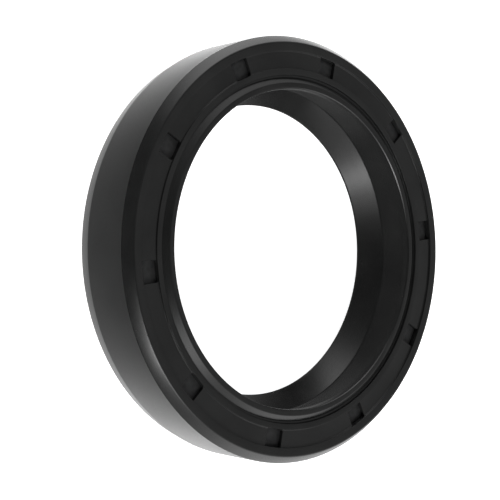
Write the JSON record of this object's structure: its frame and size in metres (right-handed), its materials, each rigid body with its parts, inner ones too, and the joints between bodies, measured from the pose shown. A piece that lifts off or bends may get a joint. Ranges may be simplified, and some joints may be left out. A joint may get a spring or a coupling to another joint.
{
  "type": "double lip oil seal",
  "caption": "Rubber-covered rotary shaft seal with a spring-loaded main lip, a dust lip and a steel case, for keeping oil in and dirt out of a shaft housing.",
  "frame": {"origin": "centre of the oil-side end plane, on the shaft axis", "axes": "+Z along the shaft axis towards the air side; +X at the picture's right and +Y at its top as the air side is seen"},
  "size_m": [0.038, 0.038, 0.007],
  "materials": {
    "rubber": "black moulded nitrile rubber, satin",
    "case_steel": "dark phosphated sheet steel",
    "spring_steel": "drawn spring wire"
  },
  "bodies": {
    "root": {"rubber_body": "rubber", "steel_case": "case_steel", "garter_spring": "spring_steel"}
  },
  "joints": []
}
